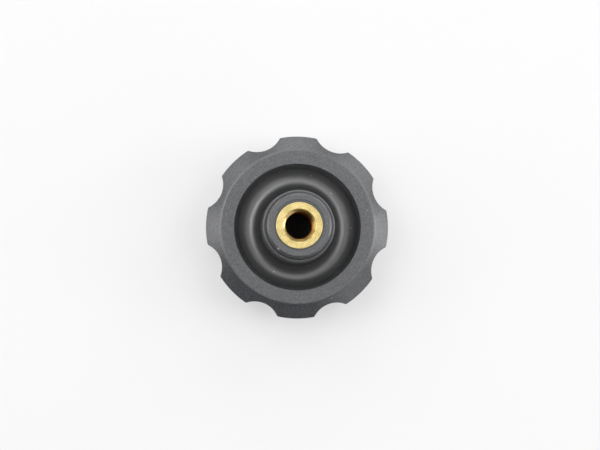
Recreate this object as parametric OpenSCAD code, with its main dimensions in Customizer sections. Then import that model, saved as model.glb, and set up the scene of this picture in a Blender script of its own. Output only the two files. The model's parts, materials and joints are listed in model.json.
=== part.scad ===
// Lobed hand knob, moulded in one piece around a threaded brass insert.
// It lies on its crown face at z = 0, with the mouth of the thread facing up.

/* [Head] */
// Diameter across the lobes
head_d = 46.2; // [41:0.1:60]
// Height of the rim face above the crown face
head_h = 16.5; // [14:0.5:24]
// Number of lobes, with a finger scallop between each two
lobe_count = 8; // [6:1:10]
// Radius of each finger scallop
scallop_r = 6.4; // [5:0.1:8]
// Depth of each scallop inside the lobe circle
scallop_depth = 2.1; // [1.2:0.1:3]
// Rounding of the upright corners of each lobe
lobe_corner_r = 0.5; // [0.2:0.1:1]
// Width of the sloping bevel outside the rim face
bevel_w = 3.6; // [2:0.1:5]
// Fall of the bevel from the rim face to the edge of the lobes
bevel_fall = 2.4; // [0.5:0.1:3]
// Width of the flat rim face
rim_w = 3.5; // [2:0.1:5]
// Rounding from the crown face up to the sides of the lobes
crown_round = 6; // [2:0.5:10]
// Draft angle of the sides of the lobes, which lean in towards the crown face
side_draft = 1.5; // [0.5:0.5:3]

/* [Trough] */
// Thickness of the crown under the bottom of the trough
crown_t = 10; // [3:0.5:12]
// Draft angle of the outer wall of the trough
trough_draft = 10; // [1:0.5:12]

/* [Boss] */
// Height of the boss face above the rim face
boss_rise = 11; // [7:0.5:16]
// Plastic around the insert at the boss face
boss_wall = 2.2; // [1.6:0.1:3.5]
// Height of the collar between the ledge and the boss face
collar_h = 3; // [1.5:0.5:5]
// Draft angle of the collar
collar_draft = 8.5; // [4:0.5:12]
// Rounding of the upper edge of the collar
collar_round = 0.4; // [0.2:0.1:0.8]
// Width of the ledge around the foot of the collar
ledge_w = 0.55; // [0.3:0.05:1.2]
// Chamfer on the outer edge of the ledge
ledge_break = 0.2; // [0.1:0.05:0.3]
// Draft angle of the boss wall under the ledge
boss_draft = 1.5; // [0.5:0.5:3]
// Width of the shallow recess in the boss face around the insert
recess_w = 0.65; // [0.3:0.05:1]
// Depth of that recess
recess_depth = 0.3; // [0.1:0.05:0.6]

/* [Insert] */
// Outside diameter of the brass insert
insert_d = 11.6; // [10.6:0.1:14]
// Length of the insert
insert_len = 16; // [12:0.5:18]
// Nominal diameter of the thread
thread_d = 8; // [5:1:8]
// Pitch of the thread
thread_pitch = 1.25; // [0.8:0.05:1.5]
// How far the countersunk mouth opens past the thread, on the radius
mouth_margin = 0.2; // [0.1:0.05:0.5]
// Height of the plain land under the insert face
land_h = 1.6; // [1:0.1:3]
// Length of the waist between the two knurled bands
waist_len = 2.4; // [1.5:0.1:4]
// Depth of the waist
waist_depth = 0.9; // [0.5:0.1:1.1]
// Number of grooves around each knurled band
knurl_count = 36; // [24:1:48]
// Depth of the knurl grooves
knurl_depth = 0.35; // [0.2:0.05:0.45]
// Chamfer around the lower end of the insert
tail_break = 0.6; // [0.4:0.1:1]
// Clear depth under the insert for the end of a long screw
runout_len = 5; // [2:0.5:6]
// Gap between the thread and the wall of that clear depth
runout_gap = 0.3; // [0.1:0.05:0.8]

/* [Fits] */
// Gap between the insert and the plastic around it
insert_gap = 0.03; // [0.01:0.01:0.1]

/* [Hidden] */
$fn = 128;

// How far a cutting shape reaches past the face that it cuts
over = 1;
// How far a rounding circle crosses the lines that it blends into
bite = 0.002;

// Insert, from its axis outwards
bore_r = (thread_d - thread_pitch) / 2;
mouth_r = thread_d / 2 + mouth_margin;
insert_r = insert_d / 2;
waist_r = insert_r - waist_depth;
runout_r = thread_d / 2 + runout_gap;
pocket_r = insert_r + insert_gap;
recess_r = pocket_r + recess_w;

// Heights above the crown face
face_z = head_h + boss_rise;
ledge_z = face_z - collar_h;
edge_z = head_h - bevel_fall;
seat_z = face_z - insert_len;
runout_z = seat_z - runout_len;
waist_mid_z = seat_z + (insert_len - land_h) / 2;
waist_low_z = waist_mid_z - waist_len / 2;
waist_high_z = waist_mid_z + waist_len / 2;

// Boss and collar
collar_r = insert_r + boss_wall;
collar_foot_r = collar_r + collar_h * tan(collar_draft);
boss_r = collar_foot_r + ledge_w;
function boss_wall_r(z) = boss_r + (ledge_z - z) * tan(boss_draft);

// Head
head_r = head_d / 2;
rim_r = head_r - bevel_w;
function side_r(z) = head_r - (edge_z - z) * tan(side_draft);
crown_flat_r = side_r(crown_round) - crown_round / cos(side_draft);
lobe_pitch = 360 / lobe_count;

// Trough: a round bottom that both drafted walls run into
trough_r = rim_r - rim_w;
function trough_wall_r(z) = trough_r - (head_h - z) * tan(trough_draft);
// Run of the round bottom from the foot of a drafted wall, for each unit of its radius
function foot_run(draft) = tan(45 - draft / 2);
bowl_span = trough_wall_r(crown_t) - boss_wall_r(crown_t);
bowl_r = bowl_span / (foot_run(trough_draft) + foot_run(boss_draft));
bowl_z = crown_t + bowl_r;
bowl_mid_r = boss_wall_r(crown_t) + bowl_r * foot_run(boss_draft);

// Scallop circle, and the circle that rounds a lobe corner between it and the lobe circle
scallop_x = head_r - scallop_depth + scallop_r;
corner_reach = head_r - lobe_corner_r + bite;
corner_span = scallop_r + lobe_corner_r - bite;
corner_turn = acos((corner_reach ^ 2 + scallop_x ^ 2 - corner_span ^ 2) / (2 * corner_reach * scallop_x));
corner_mid = corner_reach * [cos(corner_turn), sin(corner_turn)];
to_lobe = corner_mid / corner_reach;
to_scallop = ([scallop_x, 0] - corner_mid) / corner_span;

// Outline that the scallops and their rounded corners trim the round head to
module lobed_outline() {
    difference() {
        circle(head_r + over);
        scallops() translate([scallop_x, 0]) circle(scallop_r);
        scallops() for (side = [-1, 1]) corner_tip(side);
    }
    scallops() for (side = [-1, 1]) translate(on_side(corner_mid, side)) circle(lobe_corner_r);
}

// The sharp tip of a lobe, outside the circle that rounds it
module corner_tip(side) {
    polygon([
        on_side(corner_mid, side),
        on_side(corner_mid + 2 * lobe_corner_r * to_lobe, side),
        on_side(corner_mid + 2 * lobe_corner_r * to_scallop, side)
    ]);
}

module scallops() {
    for (i = [0 : lobe_count - 1]) rotate((i + 0.5) * lobe_pitch) children();
}

function on_side(point, side) = [point.x, side * point.y];

// Half sections, with x as the radius and y as the height
module head_section() {
    difference() {
        polygon([[0, 0], [side_r(0), 0], [head_r, edge_z], [rim_r, head_h], [0, head_h]]);
        crown_corner();
    }
}

// What the rounding takes off the corner between the crown face and the leaning sides
module crown_corner() {
    round_top_z = crown_round * (1 - sin(side_draft));
    difference() {
        translate([crown_flat_r, -over]) square([crown_round + over, round_top_z + over]);
        translate([crown_flat_r + bite, crown_round]) circle(crown_round);
    }
}

// Blank for the boss, wider than its wall, which the trough then trims
module boss_blank() {
    polygon([
        [0, crown_t],
        [boss_r + over, crown_t],
        [boss_r + over, ledge_z - ledge_break - over],
        [boss_r - ledge_break, ledge_z],
        [0, ledge_z]
    ]);
}

module collar_section() {
    round_z = face_z - collar_round;
    wall_r = collar_r + collar_round * tan(collar_draft);
    polygon([
        [0, ledge_z - collar_round],
        [collar_foot_r, ledge_z - collar_round],
        [collar_foot_r, ledge_z],
        [wall_r - bite, round_z],
        [wall_r - collar_round, round_z],
        [wall_r - collar_round, face_z],
        [0, face_z]
    ]);
    translate([wall_r - collar_round, round_z]) circle(collar_round);
}

module trough_section() {
    inner_z = bowl_z - bowl_r * sin(boss_draft);
    outer_z = bowl_z - bowl_r * sin(trough_draft);
    top_z = ledge_z + over;
    polygon([
        [boss_wall_r(inner_z) + bite, inner_z],
        [trough_wall_r(outer_z) - bite, outer_z],
        [trough_r, head_h],
        [trough_r, top_z],
        [boss_wall_r(top_z), top_z]
    ]);
    translate([bowl_mid_r, bowl_z]) circle(bowl_r);
}

// Space for the insert, with a ring of plastic left standing in its waist
module pocket_section() {
    ring_r = waist_r + insert_gap;
    polygon([
        [0, runout_z],
        [runout_r, runout_z],
        [runout_r, seat_z],
        [pocket_r, seat_z],
        [pocket_r, waist_low_z + insert_gap],
        [ring_r, waist_low_z + insert_gap],
        [ring_r, waist_high_z - insert_gap],
        [pocket_r, waist_high_z - insert_gap],
        [pocket_r, face_z - recess_depth],
        [recess_r, face_z - recess_depth],
        [recess_r, face_z + over],
        [0, face_z + over]
    ]);
}

module body_section() {
    difference() {
        union() {
            head_section();
            boss_blank();
            collar_section();
        }
        trough_section();
        pocket_section();
    }
}

module insert_section() {
    mouth_depth = mouth_r - bore_r;
    polygon([
        [bore_r, seat_z + mouth_depth],
        [mouth_r, seat_z],
        [insert_r - tail_break, seat_z],
        [insert_r, seat_z + tail_break],
        [insert_r, waist_low_z],
        [waist_r, waist_low_z],
        [waist_r, waist_high_z],
        [insert_r, waist_high_z],
        [insert_r, face_z],
        [mouth_r, face_z],
        [bore_r, face_z - mouth_depth]
    ]);
}

// One groove of the knurl: a right-angled V that runs from the tail up to the land
module knurl_groove() {
    groove_len = insert_len - land_h;
    translate([insert_r - knurl_depth, 0, seat_z - over])
        rotate(-45)
            cube([2 * knurl_depth, 2 * knurl_depth, groove_len + over]);
}

module knob_body() {
    color("dimgray") intersection() {
        linear_extrude(face_z + over) lobed_outline();
        rotate_extrude() body_section();
    }
}

module threaded_insert() {
    color("goldenrod") difference() {
        rotate_extrude() insert_section();
        for (i = [0 : knurl_count - 1]) rotate(i * 360 / knurl_count) knurl_groove();
    }
}

knob_body();
threaded_insert();
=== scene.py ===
"""Dressed model of a lobed hand knob: a moulded body around a turned, threaded brass insert.

Sizes are in millimetres and angles in degrees. The meshes are built in metres, in the part's own frame.
"""

import json
import math

import bmesh
import bpy
import numpy as np
from mathutils import Matrix, Vector


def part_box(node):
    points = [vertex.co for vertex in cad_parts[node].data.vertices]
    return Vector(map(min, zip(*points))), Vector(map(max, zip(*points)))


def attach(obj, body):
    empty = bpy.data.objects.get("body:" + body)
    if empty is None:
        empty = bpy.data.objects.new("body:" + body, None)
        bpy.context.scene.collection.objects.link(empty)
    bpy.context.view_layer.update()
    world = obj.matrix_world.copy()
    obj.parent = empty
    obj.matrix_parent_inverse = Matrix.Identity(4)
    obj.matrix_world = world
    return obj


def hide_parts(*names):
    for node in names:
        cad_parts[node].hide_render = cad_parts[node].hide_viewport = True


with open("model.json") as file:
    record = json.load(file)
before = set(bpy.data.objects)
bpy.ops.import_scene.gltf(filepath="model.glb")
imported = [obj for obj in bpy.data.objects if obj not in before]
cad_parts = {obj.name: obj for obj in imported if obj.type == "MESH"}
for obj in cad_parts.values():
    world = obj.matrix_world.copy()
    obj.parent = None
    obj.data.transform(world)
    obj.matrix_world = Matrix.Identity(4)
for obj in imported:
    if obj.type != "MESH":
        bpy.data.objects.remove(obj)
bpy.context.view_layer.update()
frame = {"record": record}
record = frame["record"]
mounts = {mount["name"]: mount for mount in record["mounts"]}
MM = 0.001

# Head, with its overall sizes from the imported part
HEAD_R = record["size"]["bbox_m"][0] / MM / 2
FACE_Z = record["size"]["bbox_m"][2] / MM
BOSS_RISE = 11
HEAD_H = FACE_Z - BOSS_RISE
LOBE_COUNT = 8
SCALLOP_R = 6.4
SCALLOP_DEPTH = 2.1
LOBE_CORNER_R = 0.5
BEVEL_W = 3.6
BEVEL_FALL = 2.4
RIM_W = 3.5
RIM_R = HEAD_R - BEVEL_W
BEVEL_SLOPE = BEVEL_FALL / BEVEL_W
CROWN_ROUND = 6
SIDE_DRAFT = 1.5

# Trough and boss
CROWN_T = 10
TROUGH_DRAFT = 10
TROUGH_R = RIM_R - RIM_W
COLLAR_H = 3
COLLAR_DRAFT = 8.5
BOSS_WALL = 2.2
LEDGE_W = 0.55
LEDGE_Z = FACE_Z - COLLAR_H
BOSS_DRAFT = 1.5
RECESS_W = 0.65
RECESS_DEPTH = 0.3

# Insert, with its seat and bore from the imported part
SEAT_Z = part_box("threaded_insert")[0].z / MM
BORE_R = mounts["insert_thread"]["dims"]["r_mm"]
INSERT_R = 5.8
MOUTH_R = 4.2
THREAD_PITCH = 1.25
THREAD_FLANK = 30
LAND_H = 1.6
WAIST_LEN = 2.4
WAIST_DEPTH = 0.9
KNURL_COUNT = 36
KNURL_DEPTH = 0.35
TAIL_BREAK = 0.6
RUNOUT_LEN = 5
RUNOUT_R = 4.3
INSERT_GAP = 0.03
WAIST_MID_Z = (SEAT_Z + FACE_Z - LAND_H) / 2
WAIST_LOW_Z = WAIST_MID_Z - WAIST_LEN / 2
WAIST_HIGH_Z = WAIST_MID_Z + WAIST_LEN / 2
POCKET_R = INSERT_R + INSERT_GAP
WAIST_R = INSERT_R - WAIST_DEPTH

# Small roundings of moulded and turned edges
LOBE_EDGE_R = 0.2
RIM_OUTER_R = 1.0
RIM_INNER_R = 0.12
LEDGE_EDGE_R = 0.25
COLLAR_FOOT_R = 0.15
COLLAR_EDGE_W = 0.38
COLLAR_EDGE_FALL = 0.28
COLLAR_EDGE_R = 0.08
RECESS_EDGE_R = 0.06
INSERT_EDGE_R = 0.08
MOUTH_EDGE_R = 0.04

# Grid density. HOLD is the small distance from a rounding to the row that keeps the face beside it flat, and
# also the tolerance by which zones of the surface are told apart.
LOBE_STEPS = 7
CORNER_STEPS = 5
SCALLOP_STEPS = 16
ROUND_STEPS = 6
BOWL_STEPS = 22
FLAT_ROWS = 4
CROWN_ROWS = 14
WALL_ROWS = 5
BEVEL_ROWS = 5
FLANK_STEPS = 3
SPARE_TURNS = 2
FOOT_PASSES = 4
HOLD = 0.05

# Edges that turn more than this stay sharp, and points nearer than this, in metres, are one
SHARP_ANGLE = 42
MERGE_DISTANCE = 1e-7

# Linear colours
PLASTIC_DARK = (0.023, 0.024, 0.027, 1)
PLASTIC_LIGHT = (0.093, 0.096, 0.105, 1)
PLASTIC_DEEP = (0.014, 0.015, 0.0165, 1)
# Painted shade, for the deep pocket and the corner at the collar's foot
PAINTED_SHADE_COLOUR = (0.017, 0.017, 0.016, 1)
DUST_COLOUR = (0.60, 0.60, 0.57, 1)
BRASS_DEEP = (0.77, 0.606, 0.243, 1)
BRASS_BRIGHT = (0.985, 0.804, 0.366, 1)
# Painted shade, for the deep turns of the thread in the bore
BRASS_PAINTED_SHADE = (0.286, 0.121, 0.031, 1)
FLOOR_COLOUR = (0.78, 0.78, 0.78, 1)

# Moulded finish: grain, dust, and gloss outside, in the trough and in the painted shade
PLASTIC_GRAIN = {"Grains_per_metre": 3600.0, "Mottles_per_metre": 420.0}
PLASTIC_DUST = {"Cells_per_metre": 560.0, "Speck_size": 0.12, "Empty_share": 0.72}
FLECK_SPAN = (0.32, 0.68)
DUST_OUTSIDE = 0.3
GRAIN_BUMP = 0.8
GRAIN_DEPTH = 0.04
TROUGH_GRAIN = 0.35
PLASTIC_IOR = 1.80
ROUGH_OUTSIDE = 0.36
ROUGH_TROUGH = 0.39
ROUGH_SHADE = 0.62
ROUGH_SPREAD = 0.02
TROUGH_COAT = 1.0
COAT_IOR = 1.90
COAT_ROUGH = 0.39
EDGE_POLISH = 0.3
RUBBED_W = 0.3

# Nick on the upper edge of the collar: angle from +X, size and strength
NICK_TURN = 229
NICK_SIZE = 0.3
NICK_STRENGTH = 0.8

# Turned finish: tarnish, dust and lathe rings, and the depths between which painted shade darkens the thread
BRASS_GRAIN = {"Grains_per_metre": 2600.0, "Mottles_per_metre": 520.0}
BRASS_DUST = {"Cells_per_metre": 900.0, "Speck_size": 0.06, "Empty_share": 0.93}
RINGS_PER_METRE = 9000.0
RING_BUMP = 0.25
RING_DEPTH = 0.02
BRASS_ROUGH = (0.24, 0.36)
THREAD_SHADE_START = 0
THREAD_SHADE_END = 1.5

# Noises, the part of their span that holds nearly all of it, and the solid share of a dust speck
GRAIN_NOISE = {"Detail": 3.0, "Roughness": 0.6}
MOTTLE_NOISE = {"Detail": 4.0, "Roughness": 0.55}
RING_NOISE = {"Detail": 2.0}
NOISE_SPAN = (0.3, 0.7)
SPECK_CORE = 0.4

# Stage and lamps, in metres. FLOOR_WHITE is the share of plain white in the floor that the camera sees, and
# LAMP_WATTS is for a square metre of lamp at strength 1. Each lamp has its azimuth, elevation and strength.
FLOOR_W = 4
FLOOR_WHITE = 0.5
FLOOR_ROUGH = 0.9
FLOOR_SPECULAR = 0.1
WORLD_LEVEL = 0.035
LAMP_W = 0.5
LAMP_H = 0.4
LAMP_DISTANCE = 1
LAMP_WATTS = 2.8
LAMPS = {
    "top_box": (0, 90, 0.5),
    "right_high_box": (10, 66, 3.4),
    "back_high_box": (90, 66, 1.0),
    "back_left_high_box": (135, 66, 1.9),
    "left_high_box": (170, 66, 3.1),
    "right_box": (0, 44, 2.1),
    "back_right_box": (45, 44, 1.3),
    "back_box": (90, 44, 1.3),
    "back_left_box": (135, 44, 1.4),
    "left_box": (180, 44, 1.7),
    "front_box": (270, 48, 0.2),
    "right_low_box": (0, 22, 5.3),
    "back_right_low_box": (45, 22, 3.3),
    "back_low_box": (90, 22, 3.2),
    "back_left_low_box": (135, 22, 2.5),
    "left_low_box": (180, 22, 3.7),
    "front_right_low_box": (315, 22, 1.7),
}

# Camera: focal length in pixels of the photo, far clip in metres, place and aim in millimetres
PHOTO_W = 600
FOCAL_PX = 2512
SENSOR_W = 36
CLIP_END = 20
CAMERA_PLACE = (-26.6, -25.0, 650)
CAMERA_AIM = (0.62, 0.53, 16.5)
CAMERA_ROLL = 0.8


def slope(degrees):
    """Run for each unit of height on a wall with this draft."""
    return math.tan(math.radians(degrees))


def trough_wall_r(z):
    """Radius of the trough's outer wall at a height."""
    return TROUGH_R - (HEAD_H - z) * slope(TROUGH_DRAFT)


def boss_wall_r(z):
    """Radius of the boss under its ledge at a height."""
    return COLLAR_FOOT + LEDGE_W + (LEDGE_Z - z) * slope(BOSS_DRAFT)


COLLAR_R = INSERT_R + BOSS_WALL
COLLAR_FOOT = COLLAR_R + COLLAR_H * slope(COLLAR_DRAFT)
CROWN_SIDE_R = HEAD_R - (HEAD_H - BEVEL_FALL - CROWN_ROUND) * slope(SIDE_DRAFT)
CROWN_FLAT_R = CROWN_SIDE_R - CROWN_ROUND / math.cos(math.radians(SIDE_DRAFT))


def rounded_profile(corners):
    """Half section through (radius, height, rounding, steps) corners, as rows of radius and height.

    A rounding r at a corner of half angle h starts r / tan(h) before the corner, ends as far after it, and
    turns about a centre r / sin(h) along the bisector. Its points blend the two end directions by the sines
    of the angles still to turn and already turned. A holding row just outside each rounding keeps the faces
    beside it flat.
    """
    points = np.array([corner[:2] for corner in corners], float)
    rows = [points[:1]]
    for before, here, after, (_, _, rounding, steps) in zip(points, points[1:], points[2:], corners[1:]):
        back = (before - here) / np.linalg.norm(before - here)
        ahead = (after - here) / np.linalg.norm(after - here)
        half = math.acos(np.clip(back @ ahead, -1, 1)) / 2
        if not rounding:
            rows.append(here[None])
            continue
        cut = rounding / math.tan(half)
        bisector = (back + ahead) / np.linalg.norm(back + ahead)
        centre = here + bisector * rounding / math.sin(half)
        first = (here + back * cut - centre) / rounding
        last = (here + ahead * cut - centre) / rounding
        sweep = math.pi - 2 * half
        t = np.linspace(0, 1, steps + 1)[:, None]
        blend = np.sin((1 - t) * sweep) * first + np.sin(t * sweep) * last
        arc = centre + rounding * blend / math.sin(sweep)
        rows += [(here + back * (cut + HOLD))[None], arc, (here + ahead * (cut + HOLD))[None]]
    return np.concatenate(rows + [points[-1:]])


def lobed_outline():
    """Outline of the head, anticlockwise, and the direction that its wall faces, as complex numbers.

    One pitch is five arcs in a chain: lobe, corner, scallop, corner, lobe. Each point is the arc's centre
    plus its radius times exp(i facing), and the hollow scallop has a negative radius. The corner circle
    touches the lobe circle from inside and the scallop circle from outside. Turning the pitch by
    exp(i angle) repeats it for every lobe.
    """
    half = math.pi / LOBE_COUNT
    reach = HEAD_R - LOBE_CORNER_R
    span = SCALLOP_R + LOBE_CORNER_R
    scallop_x = HEAD_R - SCALLOP_DEPTH + SCALLOP_R
    turn = math.acos((reach**2 + scallop_x**2 - span**2) / (2 * reach * scallop_x))
    corner = reach * np.exp(1j * turn)
    lean = -np.angle(scallop_x - corner)
    arcs = [
        (0, HEAD_R, -half, -turn, LOBE_STEPS),
        (np.conj(corner), LOBE_CORNER_R, -turn, lean, CORNER_STEPS),
        (scallop_x, -SCALLOP_R, lean, -lean, SCALLOP_STEPS),
        (corner, LOBE_CORNER_R, -lean, turn, CORNER_STEPS),
        (0, HEAD_R, turn, half, LOBE_STEPS),
    ]
    turns = [np.linspace(start, end, steps, endpoint=False) for _, _, start, end, steps in arcs]
    facing = [np.exp(1j * angles) for angles in turns]
    points = [centre + radius * face for (centre, radius, *_), face in zip(arcs, facing)]
    pitches = np.exp(1j * half * (2 * np.arange(LOBE_COUNT) + 1))[:, None]
    return (pitches * np.concatenate(points)).ravel(), (pitches * np.concatenate(facing)).ravel()


def edge_round(outline, facing, edge_z, rise, side):
    """Rows of the small round where the upright wall meets the bevel (side 1) or the crown (side -1).

    Across the edge the sloping face climbs `rise` for each unit inwards. A circle of radius r that touches
    both leaves the wall r * (sqrt(1 + rise^2) - rise) before the corner, and turns through a right angle
    less atan(rise).
    """
    turn = np.linspace(0, 1, ROUND_STEPS + 1)[:, None] * (math.pi / 2 - np.arctan(rise))
    inset = LOBE_EDGE_R * (1 - np.cos(turn))
    start = edge_z - side * LOBE_EDGE_R * (np.sqrt(1 + rise**2) - rise)
    return outline - inset * facing, start + side * LOBE_EDGE_R * np.sin(turn)


def crown_z(radius):
    """Height of the crown: flat in the middle, then a quarter circle up to the lobes."""
    out = np.clip(radius - CROWN_FLAT_R, 0, CROWN_ROUND)
    return CROWN_ROUND - np.sqrt(CROWN_ROUND**2 - out**2)


def crown_rise(radius):
    """Steepness of the crown at a radius: run from the start of its round over the height left to climb."""
    out = np.clip(radius - CROWN_FLAT_R, 0, CROWN_ROUND)
    return out / np.maximum(CROWN_ROUND - crown_z(radius), HOLD)


def bevel_z(radius):
    """Height of the cone that falls from the rim to the edge of the lobes."""
    return HEAD_H - (radius - RIM_R) * BEVEL_SLOPE


def inner_profile():
    """Half section from the bevel over the rim, trough, boss and recess down to the bottom of the pocket.

    The bottom of the trough is two roundings of one radius, which all but meet. They touch the two drafted
    walls and the crown's inner face.
    """
    outer_foot, inner_foot = trough_wall_r(CROWN_T), boss_wall_r(CROWN_T)
    bowl_r = (outer_foot - inner_foot) / (slope(45 - TROUGH_DRAFT / 2) + slope(45 - BOSS_DRAFT / 2)) - HOLD
    recess_r = POCKET_R + RECESS_W
    recess_z = FACE_Z - RECESS_DEPTH
    ring_r = WAIST_R + INSERT_GAP
    runout_z = SEAT_Z - RUNOUT_LEN
    bevel_end_r = RIM_R + RIM_OUTER_R / 2
    edge_r = COLLAR_R + COLLAR_EDGE_FALL * slope(COLLAR_DRAFT)
    return rounded_profile([
        (bevel_end_r, bevel_z(bevel_end_r), 0, 0),
        (RIM_R, HEAD_H, RIM_OUTER_R, ROUND_STEPS),
        (TROUGH_R, HEAD_H, RIM_INNER_R, ROUND_STEPS),
        (outer_foot, CROWN_T, bowl_r, BOWL_STEPS),
        (inner_foot, CROWN_T, bowl_r, BOWL_STEPS),
        (boss_wall_r(LEDGE_Z), LEDGE_Z, LEDGE_EDGE_R, ROUND_STEPS),
        (COLLAR_FOOT, LEDGE_Z, COLLAR_FOOT_R, ROUND_STEPS),
        (edge_r, FACE_Z - COLLAR_EDGE_FALL, COLLAR_EDGE_R, ROUND_STEPS),
        (COLLAR_R - COLLAR_EDGE_W, FACE_Z, COLLAR_EDGE_R, ROUND_STEPS),
        (recess_r, FACE_Z, RECESS_EDGE_R, ROUND_STEPS),
        (recess_r, recess_z, RECESS_EDGE_R, ROUND_STEPS),
        (POCKET_R, recess_z, 0, 0),
        (POCKET_R, WAIST_HIGH_Z - INSERT_GAP, 0, 0),
        (ring_r, WAIST_HIGH_Z - INSERT_GAP, 0, 0),
        (ring_r, WAIST_LOW_Z + INSERT_GAP, 0, 0),
        (POCKET_R, WAIST_LOW_Z + INSERT_GAP, 0, 0),
        (POCKET_R, SEAT_Z, 0, 0),
        (RUNOUT_R, SEAT_Z, 0, 0),
        (RUNOUT_R, runout_z, 0, 0),
        (0, runout_z, 0, 0),
    ])


def body_skin():
    """Grid of the moulding, from the middle of the crown round the lobes and in to the pocket's bottom.

    The lobed wall leans in by its draft from the bevel down to the crown, where its foot is found in a few
    passes. Every column keeps one direction from the axis once it has left that wall, so the rows of the
    crown and of the turned inside are circles, and the rows between them follow the outline.
    """
    outline, facing = lobed_outline()
    radius = np.abs(outline)
    square_on = np.real(facing * np.conj(outline)) / radius
    foot = outline
    for _ in range(FOOT_PASSES):
        foot = outline - facing * slope(SIDE_DRAFT) * (bevel_z(radius) - crown_z(np.abs(foot)))
    foot_r = np.abs(foot)
    low, low_z = edge_round(foot, facing, crown_z(foot_r), crown_rise(foot_r) * square_on, -1)
    high, high_z = edge_round(outline, facing, bevel_z(radius), BEVEL_SLOPE * square_on, 1)

    crown_way = low[-1] / np.abs(low[-1])
    flat_r = np.linspace(0, CROWN_FLAT_R, FLAT_ROWS)[:, None] + 0 * radius
    climb = np.linspace(0, 1, CROWN_ROWS)[1:-1, None]
    round_r = CROWN_FLAT_R + climb * (np.abs(low[-1]) - CROWN_FLAT_R)
    crown_r = np.concatenate([flat_r, round_r])

    wall = np.linspace(0, 1, WALL_ROWS)[1:-1, None]
    wall_plan = low[0] + wall * (high[0] - low[0])
    wall_z = low_z[0] + wall * (high_z[0] - low_z[0])

    rim_way = high[-1] / np.abs(high[-1])
    profile = inner_profile()
    settle = np.linspace(0, 1, BEVEL_ROWS)[1:-1, None]
    bevel_r = np.abs(high[-1]) + settle * (profile[0, 0] - np.abs(high[-1]))

    plan = np.concatenate([
        crown_r * crown_way, low[::-1], wall_plan, high, bevel_r * rim_way, profile[:, :1] * rim_way
    ])
    height = np.concatenate([
        crown_z(crown_r), low_z[::-1], wall_z, high_z, bevel_z(bevel_r), profile[:, 1:] + 0 * radius
    ])
    return np.stack([plan.real, plan.imag, height], axis=-1)


def knurl_columns():
    """Angles of the insert's columns, and how far each lies into a groove.

    Each groove has two edges and a floor between them, and a ridge stands before the next one.
    """
    groove = KNURL_DEPTH / INSERT_R
    pitch = 2 * math.pi / KNURL_COUNT
    angles = np.array([-groove, 0, groove, pitch / 2]) + pitch * np.arange(KNURL_COUNT)[:, None]
    return angles.ravel(), np.tile([0.0, 1.0, 0.0, 0.0], KNURL_COUNT)


def insert_outside(angles, into_groove):
    """Grid of the insert's outside, from its lower mouth over tail, bands, land and face to the upper one.

    Below the land each column lies as deep as its place in a groove, or on the profile where that is nearer
    to the axis.
    """
    land_z = FACE_Z - LAND_H
    bands = np.array([
        (MOUTH_R - INSERT_EDGE_R, SEAT_Z + INSERT_EDGE_R),
        (MOUTH_R, SEAT_Z),
        (INSERT_R - TAIL_BREAK, SEAT_Z),
        (INSERT_R - KNURL_DEPTH, SEAT_Z + TAIL_BREAK - KNURL_DEPTH),
        (INSERT_R, SEAT_Z + TAIL_BREAK),
        (INSERT_R, WAIST_LOW_Z),
        (WAIST_R, WAIST_LOW_Z),
        (WAIST_R, WAIST_HIGH_Z),
        (INSERT_R, WAIST_HIGH_Z),
        (INSERT_R, land_z),
    ])
    face = rounded_profile([
        (INSERT_R, land_z, 0, 0),
        (INSERT_R, FACE_Z, INSERT_EDGE_R, ROUND_STEPS),
        (MOUTH_R, FACE_Z, MOUTH_EDGE_R, ROUND_STEPS),
        (MOUTH_R - INSERT_EDGE_R, FACE_Z - INSERT_EDGE_R, 0, 0),
    ])
    band_r = np.minimum(bands[:, :1], INSERT_R - KNURL_DEPTH * into_groove)
    radius = np.concatenate([band_r, face[:, :1] + 0 * angles])
    height = np.concatenate([bands[:, 1:], face[:, 1:]]) + 0 * angles
    return np.stack([radius * np.cos(angles), radius * np.sin(angles), height], axis=-1)


def thread_rows(angles):
    """Grid of the thread, from the upper mouth down, with a closing column one full turn on.

    Height falls with the row and rises by one pitch a turn, held between the two mouths. The radius goes
    over crest, flank, root and flank with the row, or follows the countersink where that is wider. A crest
    is a quarter of the pitch wide and a root an eighth.
    """
    crest, root = THREAD_PITCH / 4, THREAD_PITCH / 8
    flank = (THREAD_PITCH - crest - root) / 2
    depth = flank / slope(THREAD_FLANK)
    marks = np.cumsum([0, crest, flank, root, flank])
    spans = zip(marks, marks[1:])
    turn_drop = np.concatenate([np.linspace(a, b, FLANK_STEPS, endpoint=False) for a, b in spans])
    top_z, low_z = FACE_Z - INSERT_EDGE_R, SEAT_Z + INSERT_EDGE_R
    turns = math.ceil((top_z - low_z) / THREAD_PITCH) + SPARE_TURNS
    drop = (turn_drop + THREAD_PITCH * np.arange(turns)[:, None]).ravel()[:, None]
    around = np.append(angles, angles[0] + 2 * math.pi)
    z = np.clip(top_z + THREAD_PITCH * (around - angles[0]) / (2 * math.pi) - drop, low_z, top_z)
    cut = BORE_R + np.interp(drop % THREAD_PITCH, marks, [0, 0, depth, depth, 0])
    mouth = MOUTH_R - np.minimum(FACE_Z - z, z - SEAT_Z)
    radius = np.maximum(cut, mouth)
    return np.stack([radius * np.cos(around), radius * np.sin(around), z], axis=-1)


def grid_cells(rows, columns, wrapped, first=0):
    """Corner numbers of every cell of a grid, with its last column joined to the first if it is wrapped."""
    row = first + columns * np.arange(rows - 1)[:, None]
    column = np.arange(columns if wrapped else columns - 1)
    beside = (column + 1) % columns
    below = row + columns
    return np.stack([row + column, row + beside, below + beside, below + column], -1).reshape(-1, 4)


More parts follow.
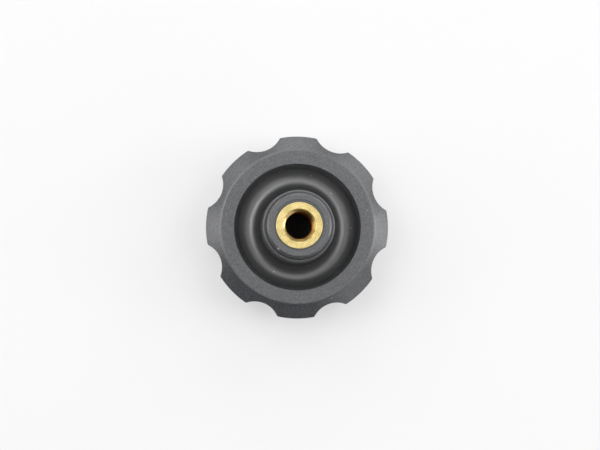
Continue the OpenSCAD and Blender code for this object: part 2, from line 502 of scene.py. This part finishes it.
def make_piece(name, grids, material):
    """One smooth object from (grid, wrapped) skins, with meeting rows, seams and poles merged."""
    points = np.concatenate([grid.reshape(-1, 3) for grid, _ in grids]) * MM
    starts = np.cumsum([0] + [grid.shape[0] * grid.shape[1] for grid, _ in grids])
    cells = np.concatenate([
        grid_cells(*grid.shape[:2], wrapped, start) for (grid, wrapped), start in zip(grids, starts)
    ])
    mesh = bpy.data.meshes.new(name)
    mesh.from_pydata(points.tolist(), [], cells.tolist())
    shape = bmesh.new()
    shape.from_mesh(mesh)
    bmesh.ops.remove_doubles(shape, verts=shape.verts, dist=MERGE_DISTANCE)
    shape.to_mesh(mesh)
    shape.free()
    mesh.shade_smooth()
    mesh.set_sharp_from_angle(angle=math.radians(SHARP_ANGLE))
    mesh.materials.append(material)
    piece = bpy.data.objects.new(name, mesh)
    bpy.context.scene.collection.objects.link(piece)
    return piece


class Nodes:
    """Short way to place and join the nodes of one material or group."""

    def __init__(self, tree):
        self.tree = tree

    def add(self, kind, settings=None, **inputs):
        """A node with its settings, and its inputs linked to sockets or set to values by name."""
        node = self.tree.nodes.new(kind)
        for key, value in (settings or {}).items():
            setattr(node, key, value)
        for key, value in inputs.items():
            self.feed(node.inputs[key.replace("_", " ")], value)
        return node

    def feed(self, socket, value):
        """Links a socket to another, or sets its value."""
        if isinstance(value, bpy.types.NodeSocket):
            self.tree.links.new(value, socket)
        else:
            socket.default_value = value

    def math(self, operation, *values):
        """Result of one sum on sockets or numbers."""
        node = self.add("ShaderNodeMath", {"operation": operation})
        for socket, value in zip(node.inputs, values):
            self.feed(socket, value)
        return node.outputs["Value"]

    def ramp(self, value, low, high, to_low=0.0, to_high=1.0):
        """Value carried smoothly from one span to another."""
        node = self.add(
            "ShaderNodeMapRange", {"interpolation_type": "SMOOTHSTEP"},
            Value=value, From_Min=low, From_Max=high, To_Min=to_low, To_Max=to_high,
        )
        return node.outputs["Result"]

    def blend(self, share, first, second):
        """Colour between two others, by a share."""
        node = self.add("ShaderNodeMix", {"data_type": "RGBA"})
        for socket, value in zip((node.inputs[0], node.inputs[6], node.inputs[7]), (share, first, second)):
            self.feed(socket, value)
        return node.outputs[2]


def new_group(name, inputs, outputs):
    """Empty shader group with named sockets, and its inside input and output nodes."""
    group = bpy.data.node_groups.new(name, "ShaderNodeTree")
    for socket, kind in inputs.items():
        group.interface.new_socket(socket, in_out="INPUT", socket_type=kind)
    for socket, kind in outputs.items():
        group.interface.new_socket(socket, in_out="OUTPUT", socket_type=kind)
    nodes = Nodes(group)
    return group, nodes, nodes.add("NodeGroupInput").outputs, nodes.add("NodeGroupOutput").inputs


def grain_group():
    """Fine grain of a made surface: a height for bump and a slower mottle, from noise at two sizes."""
    group, nodes, inside, out = new_group(
        "surface_grain",
        {
            "Place": "NodeSocketVector",
            "Grains_per_metre": "NodeSocketFloat",
            "Mottles_per_metre": "NodeSocketFloat",
        },
        {"Height": "NodeSocketFloat", "Mottle": "NodeSocketFloat"},
    )
    place = inside["Place"]
    fine = nodes.add("ShaderNodeTexNoise", Vector=place, Scale=inside["Grains_per_metre"], **GRAIN_NOISE)
    slow = nodes.add("ShaderNodeTexNoise", Vector=place, Scale=inside["Mottles_per_metre"], **MOTTLE_NOISE)
    nodes.feed(out["Height"], fine.outputs["Fac"])
    nodes.feed(out["Mottle"], nodes.ramp(slow.outputs["Fac"], *NOISE_SPAN))
    return group


def dust_group():
    """Scattered specks: the middle of each Voronoi cell, kept where the cell's random draw is high."""
    group, nodes, inside, out = new_group(
        "dust_specks",
        {
            "Place": "NodeSocketVector",
            "Cells_per_metre": "NodeSocketFloat",
            "Speck_size": "NodeSocketFloat",
            "Empty_share": "NodeSocketFloat",
        },
        {"Mask": "NodeSocketFloat"},
    )
    cells = nodes.add("ShaderNodeTexVoronoi", Vector=inside["Place"], Scale=inside["Cells_per_metre"])
    draw = nodes.add("ShaderNodeSeparateColor", Color=cells.outputs["Color"]).outputs["Red"]
    kept = nodes.math("GREATER_THAN", draw, inside["Empty_share"])
    size = nodes.math("MULTIPLY", inside["Speck_size"], draw)
    core = nodes.math("MULTIPLY", size, SPECK_CORE)
    speck = nodes.ramp(cells.outputs["Distance"], core, size, 1.0, 0.0)
    nodes.feed(out["Mask"], nodes.math("MULTIPLY", speck, kept))
    return group


def new_material(name):
    """Material with its tree emptied, and its output node."""
    material = bpy.data.materials.new(name)
    material.use_nodes = True
    material.node_tree.nodes.clear()
    nodes = Nodes(material.node_tree)
    return material, nodes, nodes.add("ShaderNodeOutputMaterial")


def place_group(nodes, group, **inputs):
    """A group placed in a material with its own values."""
    node = nodes.add("ShaderNodeGroup", {"node_tree": group})
    for key, value in inputs.items():
        nodes.feed(node.inputs[key], value)
    return node.outputs


def moulded_plastic(grain, dust):
    """Dark grey moulding: grained outside, and smoother in the trough and on the boss.

    It has painted shade in the pocket and around the foot of the collar, and carries dust and one nick.
    """
    material, nodes, out = new_material("grained_plastic")
    place = nodes.add("ShaderNodeTexCoord").outputs["Object"]
    polish = nodes.add("ShaderNodeAttribute", {"attribute_name": "polish"}).outputs["Fac"]
    # Painted shade: 1 in the pocket and at the collar's foot, fading up the collar wall
    painted_shade = nodes.add("ShaderNodeAttribute", {"attribute_name": "painted_shade"}).outputs["Fac"]
    skin = place_group(nodes, grain, Place=place, **PLASTIC_GRAIN)
    specks = place_group(nodes, dust, Place=place, **PLASTIC_DUST)
    fleck = nodes.ramp(skin["Height"], *FLECK_SPAN)
    grey = nodes.blend(fleck, PLASTIC_DARK, PLASTIC_LIGHT)
    grey = nodes.blend(polish, grey, PLASTIC_DEEP)
    lying = nodes.math("MULTIPLY", specks["Mask"], nodes.ramp(polish, 0.0, 1.0, DUST_OUTSIDE, 1.0))
    grey = nodes.blend(nodes.math("MAXIMUM", lying, edge_nick(nodes, place)), grey, DUST_COLOUR)
    # Painted shade darkens the colour in the pocket and at the collar's foot
    colour = nodes.blend(painted_shade, grey, PAINTED_SHADE_COLOUR)
    rough = nodes.ramp(polish, 0.0, 1.0, ROUGH_OUTSIDE, ROUGH_TROUGH)
    rough = nodes.math("ADD", rough, nodes.ramp(skin["Mottle"], 0.0, 1.0, -ROUGH_SPREAD, ROUGH_SPREAD))
    rough = nodes.math("MAXIMUM", rough, nodes.math("MULTIPLY", painted_shade, ROUGH_SHADE))
    gloss = nodes.math("MULTIPLY", polish, nodes.ramp(painted_shade, 0.0, 1.0, TROUGH_COAT, 0.0))
    share = nodes.ramp(polish, 0.0, 1.0, 1.0, TROUGH_GRAIN)
    height = nodes.math("MULTIPLY", skin["Height"], share)
    bump = nodes.add("ShaderNodeBump", Strength=GRAIN_BUMP, Distance=GRAIN_DEPTH * MM, Height=height)
    shader = nodes.add(
        "ShaderNodeBsdfPrincipled",
        Base_Color=colour, Roughness=rough, Normal=bump.outputs["Normal"], IOR=PLASTIC_IOR,
        Coat_Weight=gloss, Coat_Roughness=COAT_ROUGH, Coat_IOR=COAT_IOR,
    )
    nodes.feed(out.inputs["Surface"], shader.outputs["BSDF"])
    return material


def edge_nick(nodes, place):
    """Mask of one small light nick on the upper edge of the collar, fading with distance from its middle."""
    turn = math.radians(NICK_TURN)
    radius = COLLAR_R - COLLAR_EDGE_W / 2
    edge_z = FACE_Z - COLLAR_EDGE_FALL / 2
    middle = Vector((radius * math.cos(turn), radius * math.sin(turn), edge_z)) * MM
    away = nodes.add("ShaderNodeVectorMath", {"operation": "DISTANCE"})
    nodes.feed(away.inputs[0], place)
    nodes.feed(away.inputs[1], middle)
    return nodes.ramp(away.outputs["Value"], NICK_SIZE / 2 * MM, NICK_SIZE * MM, NICK_STRENGTH, 0.0)


def turned_brass(grain, dust):
    """Turned brass: fine rings about the axis, tarnish, a few specks and painted shade deeper down the bore.
    """
    material, nodes, out = new_material("lathe_brass")
    place = nodes.add("ShaderNodeTexCoord").outputs["Object"]
    skin = place_group(nodes, grain, Place=place, **BRASS_GRAIN)
    specks = place_group(nodes, dust, Place=place, **BRASS_DUST)
    flat = nodes.add("ShaderNodeVectorMath", {"operation": "MULTIPLY"})
    nodes.feed(flat.inputs[0], place)
    nodes.feed(flat.inputs[1], (1.0, 1.0, 0.0))
    radius = nodes.add("ShaderNodeVectorMath", {"operation": "LENGTH"})
    nodes.feed(radius.inputs[0], flat.outputs["Vector"])
    rings = nodes.add(
        "ShaderNodeTexNoise", {"noise_dimensions": "1D"},
        W=radius.outputs["Value"], Scale=RINGS_PER_METRE, **RING_NOISE,
    )
    tone = nodes.blend(skin["Mottle"], BRASS_DEEP, BRASS_BRIGHT)
    tone = nodes.blend(specks["Mask"], tone, DUST_COLOUR)
    # Painted shade in the bore, deepening with depth below the face
    height = nodes.add("ShaderNodeSeparateXYZ", Vector=place).outputs["Z"]
    shade_low, shade_high = (FACE_Z - THREAD_SHADE_END) * MM, (FACE_Z - THREAD_SHADE_START) * MM
    sunk = nodes.ramp(height, shade_low, shade_high, 1.0, 0.0)
    inside = nodes.ramp(radius.outputs["Value"], MOUTH_R * MM, (MOUTH_R + HOLD) * MM, 1.0, 0.0)
    colour = nodes.blend(nodes.math("MULTIPLY", sunk, inside), tone, BRASS_PAINTED_SHADE)
    rough = nodes.ramp(rings.outputs["Fac"], *NOISE_SPAN, *BRASS_ROUGH)
    bump = nodes.add(
        "ShaderNodeBump", Strength=RING_BUMP, Distance=RING_DEPTH * MM, Height=rings.outputs["Fac"]
    )
    shader = nodes.add(
        "ShaderNodeBsdfPrincipled",
        Base_Color=colour, Roughness=rough, Metallic=1.0, Normal=bump.outputs["Normal"],
    )
    nodes.feed(out.inputs["Surface"], shader.outputs["BSDF"])
    return material


def mark_zones(piece):
    """Two attributes by radius and height.

    The polish is 1 on the trough, the boss wall and the collar, without the faces that look straight up,
    and less on the rubbed outer edge of the rim. The painted shade is 1 inside the pocket, and around the
    foot of the collar, from where it fades out up the collar wall.
    """
    places = np.empty(3 * len(piece.data.vertices), np.float32)
    piece.data.vertices.foreach_get("co", places)
    x, y, z = places.reshape(-1, 3).T / MM
    radius = np.hypot(x, y)
    inside = (radius < TROUGH_R - HOLD) & (radius > COLLAR_R) & (z > CROWN_T - HOLD)
    level = (np.abs(z - LEDGE_Z) < HOLD) | (z > FACE_Z - HOLD)
    # The pocket and the collar's foot take painted shade
    pocket = (radius < POCKET_R + HOLD) & (z > SEAT_Z - RUNOUT_LEN - HOLD)
    foot = (np.abs(radius - COLLAR_FOOT) < COLLAR_FOOT_R) & (z > LEDGE_Z - HOLD)
    rubbed = (np.abs(radius - RIM_R) < RUBBED_W) & (z > HEAD_H - BEVEL_FALL)
    zones = {"polish": np.maximum(inside & ~level, EDGE_POLISH * rubbed), "painted_shade": pocket | foot}
    for name, zone in zones.items():
        attribute = piece.data.attributes.new(name, "FLOAT", "POINT")
        attribute.data.foreach_set("value", zone.astype(np.float32))


def pale_floor():
    """Wide pale sheet that the knob lies on, whitened only where the camera or a reflection sees it."""
    material, nodes, out = new_material("pale_floor")
    matt = nodes.add(
        "ShaderNodeBsdfPrincipled",
        Base_Color=FLOOR_COLOUR, Roughness=FLOOR_ROUGH, Specular_IOR_Level=FLOOR_SPECULAR,
    )
    white = nodes.add("ShaderNodeEmission", Strength=1.0)
    ray = nodes.add("ShaderNodeLightPath").outputs
    mirrored = nodes.math("MAXIMUM", ray["Is Glossy Ray"], ray["Is Transmission Ray"])
    seen = nodes.math("MAXIMUM", ray["Is Camera Ray"], mirrored)
    sheet = nodes.add("ShaderNodeMixShader", Fac=nodes.math("MULTIPLY", seen, FLOOR_WHITE))
    nodes.feed(sheet.inputs[1], matt.outputs["BSDF"])
    nodes.feed(sheet.inputs[2], white.outputs["Emission"])
    nodes.feed(out.inputs["Surface"], sheet.outputs["Shader"])
    mesh = bpy.data.meshes.new("pale_floor")
    half = FLOOR_W / 2
    corners = [(-half, -half, 0), (half, -half, 0), (half, half, 0), (-half, half, 0)]
    mesh.from_pydata(corners, [], [(0, 1, 2, 3)])
    mesh.materials.append(material)
    floor = bpy.data.objects.new("pale_floor", mesh)
    bpy.context.scene.collection.objects.link(floor)


def softbox(name, azimuth, elevation, strength):
    """Rectangular lamp that faces the knob from a direction, with azimuth from +X towards +Y."""
    lamp = bpy.data.lights.new(name, "AREA")
    lamp.shape = "RECTANGLE"
    lamp.size, lamp.size_y = LAMP_W, LAMP_H
    lamp.energy = strength * LAMP_WATTS * LAMP_W * LAMP_H
    box = bpy.data.objects.new(name, lamp)
    level = math.radians(elevation)
    turn = math.radians(azimuth)
    way = Vector((math.cos(level) * math.cos(turn), math.cos(level) * math.sin(turn), math.sin(level)))
    box.location = way * LAMP_DISTANCE
    box.rotation_euler = way.to_track_quat("Z", "Y").to_euler()
    bpy.context.scene.collection.objects.link(box)


def studio_world():
    """Even pale surroundings that fill the shadows."""
    world = bpy.data.worlds.new("studio")
    world.use_nodes = True
    world.node_tree.nodes["Background"].inputs["Color"].default_value = (1, 1, 1, 1)
    world.node_tree.nodes["Background"].inputs["Strength"].default_value = WORLD_LEVEL
    bpy.context.scene.world = world


def add_camera():
    """Camera above the knob, a little to the front left, turned so that image up is close to +Y."""
    data = bpy.data.cameras.new("camera")
    data.sensor_fit = "HORIZONTAL"
    data.sensor_width = SENSOR_W
    data.lens = data.sensor_width * FOCAL_PX / PHOTO_W
    data.clip_end = CLIP_END
    camera = bpy.data.objects.new("camera", data)
    place, aim = Vector(CAMERA_PLACE) * MM, Vector(CAMERA_AIM) * MM
    back = (place - aim).normalized()
    roll = math.radians(CAMERA_ROLL)
    right = Vector((-math.sin(roll), math.cos(roll), 0)).cross(back).normalized()
    turn = Matrix((right, back.cross(right), back)).transposed().to_4x4()
    camera.matrix_world = Matrix.Translation(place) @ turn
    bpy.context.scene.collection.objects.link(camera)
    bpy.context.scene.camera = camera


grain = grain_group()
dust = dust_group()
body = make_piece("moulded_body", [(body_skin(), True)], moulded_plastic(grain, dust))
mark_zones(body)
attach(body, "root")
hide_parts("knob_body")

insert_angles, insert_grooves = knurl_columns()
insert = make_piece(
    "brass_insert",
    [(insert_outside(insert_angles, insert_grooves), True), (thread_rows(insert_angles), False)],
    turned_brass(grain, dust),
)
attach(insert, "root")
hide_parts("threaded_insert")

pale_floor()
studio_world()
for lamp_name, lamp_place in LAMPS.items():
    softbox(lamp_name, *lamp_place)
add_camera()
bpy.context.scene.view_settings.view_transform = "Standard"
